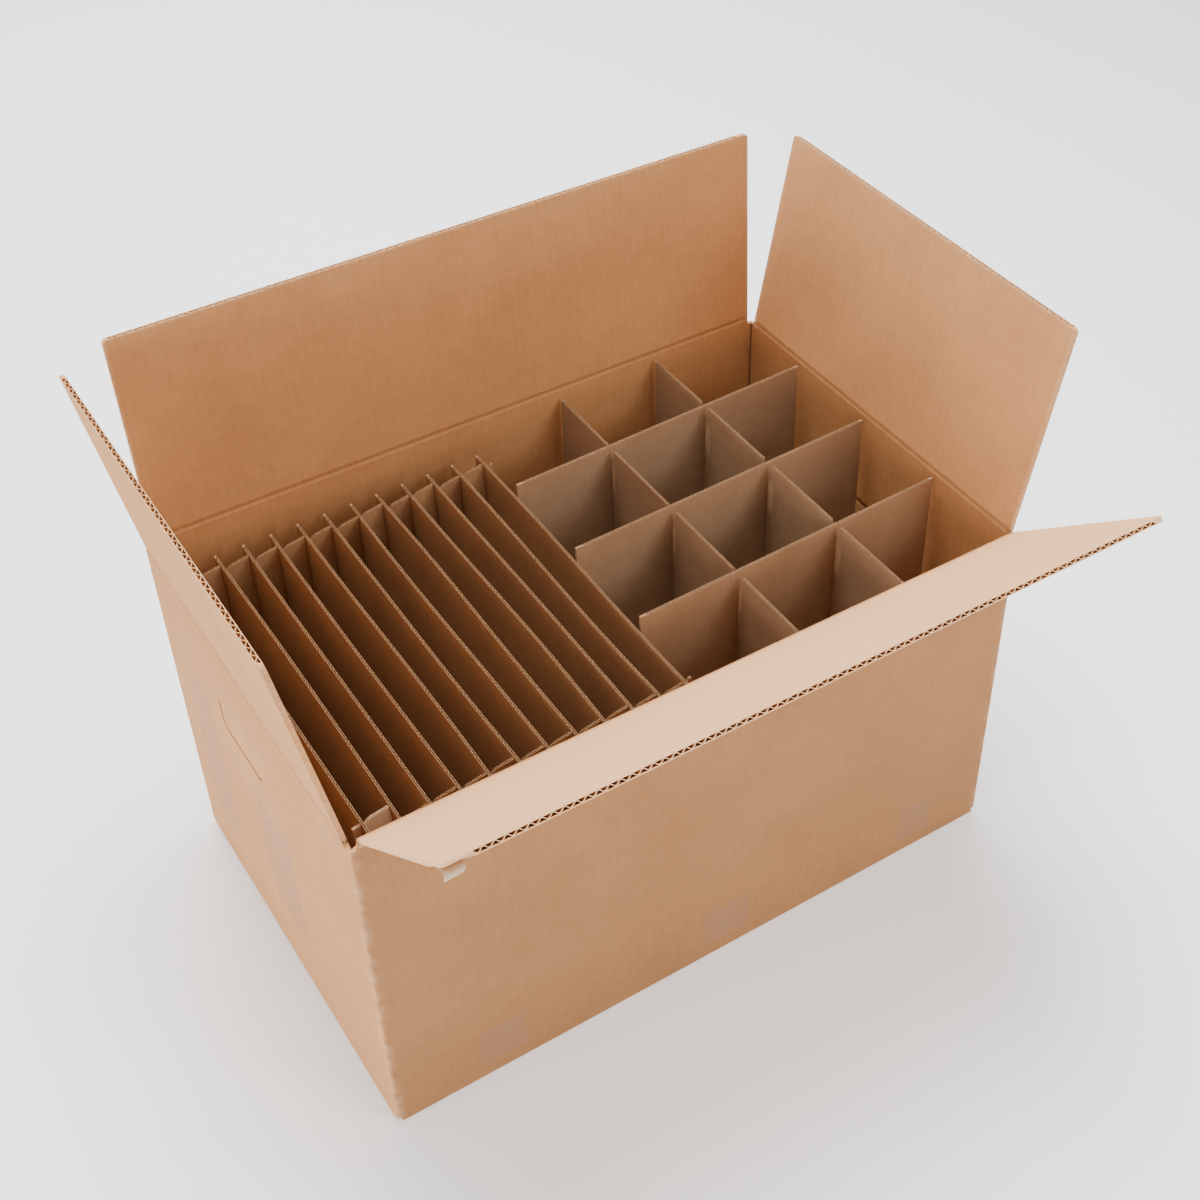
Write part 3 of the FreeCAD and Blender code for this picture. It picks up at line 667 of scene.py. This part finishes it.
def divided(node, cuts):
    """a node's triangles as one closed mesh, cut by planes given as (place, normal)"""
    work = bmesh.new()
    work.from_mesh(nodes[node].data)
    bmesh.ops.remove_doubles(work, verts=work.verts, dist=0.01 * MM)
    bmesh.ops.dissolve_limit(
        work, angle_limit=0.001, verts=work.verts[:], edges=work.edges[:]
    )
    for place, normal in cuts:
        everything = work.verts[:] + work.edges[:] + work.faces[:]
        bmesh.ops.bisect_plane(work, geom=everything, plane_co=place, plane_no=normal)
    mesh = bpy.data.meshes.new(node + "_board")
    work.to_mesh(mesh)
    work.free()
    return mesh


def fluted(node, mesh, turn, length, kind):
    """the mesh with open tunnels along its top edge"""
    low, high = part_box(node)
    values = {
        "Middle": ((low.x + high.x) / 2, (low.y + high.y) / 2, high.z),
        "Turn": turn,
        "Length": length,
        "Pitch": INSERT_PITCH,
        "Thickness": INSERT_BOARD,
        "Liner": INSERT_LINER,
        "Medium": INSERT_MEDIUM,
        "Depth": TUNNEL_DEPTH,
        "Finish": insert_finishes[kind],
    }
    return open_flutes.grow(mesh, values)


def stand_for(node, mesh):
    """an object of this mesh takes the node's place"""
    piece = bpy.data.objects.new(node + "_board", mesh)
    bpy.context.scene.collection.objects.link(piece)
    for face in mesh.polygons:
        face.use_smooth = False
    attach(piece, "carton")
    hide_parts(node)
    return piece


def soft_step(value, low, high):
    share = min(1.0, max(0.0, (value - low) / (high - low)))
    return share * share * (3 - 2 * share)


print("board:", INSERT_BOARD / MM, "mm")

# %% [markdown]
# The cell dividers stay straight and only get their tunnels. The long ones stand a little
# askew, and the row of tunnels is turned with them.

# %% Cell dividers
LEAN = math.radians(2.0)


def make_dividers():
    for node in sorted(nodes):
        if not node.startswith(("long_divider", "cross_divider")):
            continue
        low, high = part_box(node)
        kind = node.rsplit("_", 1)[0]
        turn = LEAN if kind == "long_divider" else math.pi / 2
        length = (high - low).x / math.cos(LEAN) if kind == "long_divider" else (high - low).y
        mesh = fluted(node, divided(node, []), turn, length - 1 * MM, kind)
        stand_for(node, mesh)
        print(node, "triangles:", sum(len(face.vertices) - 2 for face in mesh.polygons))


make_dividers()

# %% [markdown]
# Each sheet of the rack is held by the two combs and bows a little between and beyond them,
# more at its top than at its foot. How much is drawn by lot, the same on every run.

# %% Sheets of the rack
FRONT_COMB_Y = (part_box("rack_comb_front")[0].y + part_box("rack_comb_front")[1].y) / 2
BACK_COMB_Y = (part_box("rack_comb_back")[0].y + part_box("rack_comb_back")[1].y) / 2


def make_sheet(node):
    low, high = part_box(node)
    places = [low.y + (high.y - low.y) * step / 16 for step in range(1, 16)]
    cuts = [((0, place, 0), (0, 1, 0)) for place in places]
    cuts += [((0, 0, low.z + (high.z - low.z) * step / 6), (0, 0, 1)) for step in range(1, 6)]
    mesh = fluted(node, divided(node, cuts), math.pi / 2, high.y - low.y, "rack_sheet")
    bow = chance.uniform(-1.4, 1.4) * MM
    twist = chance.uniform(-0.8, 0.8) * MM
    for corner in mesh.vertices:
        share = (corner.co.y - FRONT_COMB_Y) / (BACK_COMB_Y - FRONT_COMB_Y)
        height = (corner.co.z - low.z) / (high.z - low.z)
        swing = math.sin(math.pi * share) * bow + math.sin(math.tau * share) * twist
        corner.co.x += swing * (0.3 + 0.7 * height)
    stand_for(node, mesh)
    return len(mesh.polygons)


sheets = sorted(node for node in nodes if node.startswith("rack_sheet"))
print("sheets:", len(sheets), "faces:", sum(make_sheet(node) for node in sheets))

# %% [markdown]
# The combs' tabs lean this way and that. Those at the left end are bent over further, and
# the furthest has paled where its paper is stretched.

# %% Combs of the rack
SHEET_PITCH = 24 * MM
FIRST_SHEET_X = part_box("rack_sheet_01")[0].x + INSERT_BOARD / 2
BENT_TABS = {"rack_comb_front": {0: 5.0, 1: 9.0, 2: -3.0}, "rack_comb_back": {0: -4.0}}
PALES_FROM, PALEST_AFTER = 4, 6


def make_comb(node):
    low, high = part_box(node)
    cuts = [((0, 0, high.z - depth * MM), (0, 0, 1)) for depth in (6, 13, 20, 28, 38, 60)]
    mesh = fluted(node, divided(node, cuts), 0.0, high.x - low.x, "rack_comb")
    lean = [chance.uniform(-2.6, 2.6) for _ in range(len(sheets) + 1)]
    for tab, bent in BENT_TABS[node].items():
        lean[tab] = bent
    curled = mesh.attributes.new("curled", "FLOAT", "POINT")
    for corner in mesh.vertices:
        place = (corner.co.x - FIRST_SHEET_X) / SHEET_PITCH + 1
        tab = int(place)
        height = soft_step(corner.co.z, high.z - 45 * MM, high.z + 12 * MM)
        corner.co.y += lean[tab] * MM * height * 1.3
        corner.co.z -= height * (1 - (place - tab)) * 5 * MM
        excess = max(0, abs(lean[tab]) - PALES_FROM)
        curled.data[corner.index].value = min(1.0, height * excess / PALEST_AFTER)
    stand_for(node, mesh)
    return len(mesh.polygons)


print("combs, faces:", [make_comb(node) for node in BENT_TABS])

# %% [markdown]
# A score line isn't a hinge. The board is crushed along it, and both papers run on over the
# crease, dented and a little loose. The solids end in a rolled edge and a cup there, so
# each crease gets two thin skins, one outside and one inside.

# %% Paper over the creases
SKIN = 0.3 * MM
SKIN_REACH = 7.0 * MM
CREASE_WIDTH = 3.0 * MM
SKIN_COLUMNS = 60


def skin_section(side):
    """(up, out) points round the skin's cut, first its outer face and then its inner"""
    stations = [-SKIN_REACH + SKIN_REACH * step / 9 for step in range(19)]

    def out(up):
        dent = 0.5 * MM * (0.5 + 0.5 * math.cos(math.pi * min(1, abs(up) / (3.4 * MM))))
        tuck = 0.06 * MM * soft_step(abs(up), 5.2 * MM, SKIN_REACH)
        return BOARD / 2 + 0.03 * MM - dent - tuck

    face = [(up, out(up) * side) for up in stations]
    back = [(up, (out(up) - SKIN) * side) for up in reversed(stations)]
    return face + back


def crease_skin(fold, side):
    """one thin skin over a score line: outside where side is 1, inside where it is -1"""
    section = skin_section(side)
    work = bmesh.new()
    rings = []
    for column in range(SKIN_COLUMNS + 1):
        along = fold.half * (2 * column / SKIN_COLUMNS - 1)
        ring = []
        for up, out in section:
            angle = fold.rest * soft_step(up, -CREASE_WIDTH, CREASE_WIDTH)
            spot = fold.point(along, up, out, angle)
            crumple = noise.noise(spot * 60) * 0.12 * MM * (1 - soft_step(abs(up), 0, 0.005))
            ring.append(work.verts.new(fold.point(along, up, out + crumple, angle)))
        rings.append(ring)
    count = len(section)
    for first, second in zip(rings, rings[1:]):
        for step in range(count):
            following = (step + 1) % count
            corners = (first[step], first[following], second[following], second[step])
            work.faces.new(corners).smooth = True
    work.faces.new(rings[0])
    work.faces.new(rings[-1])
    bmesh.ops.recalc_face_normals(work, faces=work.faces)
    name = f"crease_{fold.name}_{'outside' if side > 0 else 'inside'}"
    mesh = bpy.data.meshes.new(name)
    work.to_mesh(mesh)
    work.free()
    mesh.materials.append(flap_finish[fold.name])
    skin = bpy.data.objects.new(name, mesh)
    bpy.context.scene.collection.objects.link(skin)
    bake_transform(skin)
    return skin


skins = [crease_skin(fold, side) for fold in folds.values() for side in (1, -1)]
print("skins:", [skin.name for skin in skins])

# %% [markdown]
# The front flap's left corner is torn: the outer paper has come off with part of the wave,
# and a scrap of it still hangs there, curled down and pale on its inner side. The scrap is
# a strip that follows a curve away from the flap's outer face. Its edge is ragged.

# %% Torn corner
# the curl as (up, out) in millimetres, from under the liner to its free edge
CURL = [(162, 1.9), (170, 2.1), (177, 2.6), (181.5, 3.8), (183, 5.6), (182.3, 7.6)]
CURL += [(180.2, 9.2), (177.5, 9.8)]
TORN_DARK = (0.52, 0.33, 0.19)
TORN_LIGHT = (0.78, 0.58, 0.40)
SCRAP_COLUMNS = 12


def make_scrap(fold):
    work = bmesh.new()
    grid = []
    for index, (up, out) in enumerate(CURL):
        share = index / (len(CURL) - 1)
        row = []
        for column in range(SCRAP_COLUMNS + 1):
            across = column / SCRAP_COLUMNS
            left = -fold.half + (2.0 - 1.5 * share) * MM
            width = (17 - 4 * share) * MM
            ragged = noise.noise(Vector((column * 0.45, index * 0.8, 3.1))) * 1.6 - 0.6
            droop = (across - 0.4) * 3.0 * share
            spot = (up + min(0.3, ragged) * share - abs(droop), out + abs(ragged) * share)
            row.append(fold.point(left + width * across, spot[0] * MM, spot[1] * MM, fold.rest))
        grid.append([work.verts.new(place) for place in row])
    for first, second in zip(grid, grid[1:]):
        for step in range(SCRAP_COLUMNS):
            corners = (first[step], first[step + 1], second[step + 1], second[step])
            work.faces.new(corners).smooth = True
    mesh = bpy.data.meshes.new("torn_corner")
    work.to_mesh(mesh)
    work.free()
    scrap = bpy.data.objects.new("torn_corner", mesh)
    bpy.context.scene.collection.objects.link(scrap)
    thicken = scrap.modifiers.new("thickness", "SOLIDIFY")
    thicken.thickness = 0.5 * MM
    thicken.offset = 0.0
    smooth = scrap.modifiers.new("smooth", "SUBSURF")
    smooth.levels = smooth.render_levels = 1
    depsgraph = bpy.context.evaluated_depsgraph_get()
    solid = bpy.data.meshes.new_from_object(scrap.evaluated_get(depsgraph))
    scrap.modifiers.clear()
    scrap.data = solid
    paper = Paper("torn_liner", TORN_DARK, TORN_LIGHT)
    solid.materials.append(paper.kraft(paper.sheet(True, FLUTE_PITCH)))
    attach(scrap, fold.child)
    return scrap


print("scrap:", make_scrap(folds["front"]).name)

# %% [markdown]
# The photograph's light is soft and comes from above, slightly from the front: the open
# front flap is the brightest face, and the cells grow dark towards the floor. A large area
# light overhead does that, and one behind it reaches the open flap. Two from the front and
# the left brighten the outer walls with little light inside, and a dim pale world fills
# the shadows. A round pale backdrop stands far off, behind the floor's edge.

# %% Studio
WHITE = (1, 1, 1, 1)
PALE = (0.92, 0.92, 0.92, 1)
WORLD_STRENGTH = 0.3
REACH = 12.0
BACKDROP_TOP = 3.5
SIDES = 48


def area_light(name, place, target, size, watts):
    data = bpy.data.lights.new(name, "AREA")
    data.shape = "RECTANGLE"
    data.size, data.size_y = size
    data.energy = watts
    light = bpy.data.objects.new(name, data)
    light.location = place
    light.rotation_euler = (Vector(target) - Vector(place)).to_track_quat("-Z", "Y").to_euler()
    bpy.context.scene.collection.objects.link(light)


area_light("top_softbox", (0.1, 0.25, 2.5), (0, 0, 0.3), (1.3, 1.3), 118)
area_light("back_softbox", (0.3, 2.5, 1.7), (0, -0.2, 0.3), (1.6, 0.8), 55)
area_light("front_softbox", (0.9, -2.0, 1.75), (0, 0, 0.3), (1.0, 0.8), 27)
area_light("left_softbox", (-2.6, -0.5, 0.62), (-0.3, 0, 0.3), (1.6, 0.6), 58)

world = bpy.data.worlds.new("pale_studio")
world.use_nodes = True
background = world.node_tree.nodes["Background"]
background.inputs["Color"].default_value = WHITE
background.inputs["Strength"].default_value = WORLD_STRENGTH
bpy.context.scene.world = world


def make_stage(name, corners, faces, glow):
    mesh = bpy.data.meshes.new(name)
    mesh.from_pydata(corners, [], faces)
    stage = bpy.data.objects.new(name, mesh)
    bpy.context.scene.collection.objects.link(stage)
    material = bpy.data.materials.new(name)
    material.use_nodes = True
    shader = material.node_tree.nodes["Principled BSDF"]
    shader.inputs["Base Color"].default_value = PALE
    shader.inputs["Roughness"].default_value = 0.9
    shader.inputs["Emission Color"].default_value = WHITE
    shader.inputs["Emission Strength"].default_value = glow
    mesh.materials.append(material)


turns = [math.tau * side / SIDES for side in range(SIDES)]
rim = [(REACH * math.cos(turn), REACH * math.sin(turn), 0.0) for turn in turns]
high_rim = [(x, y, BACKDROP_TOP) for x, y, _ in rim]
round_wall = []
for side in range(SIDES):
    after = (side + 1) % SIDES
    round_wall.append((side, after, after + SIDES, side + SIDES))
make_stage("studio_floor", rim, [tuple(range(SIDES))], 0.45)
make_stage("studio_backdrop", rim + high_rim, round_wall, 0.5)
print("studio ready")
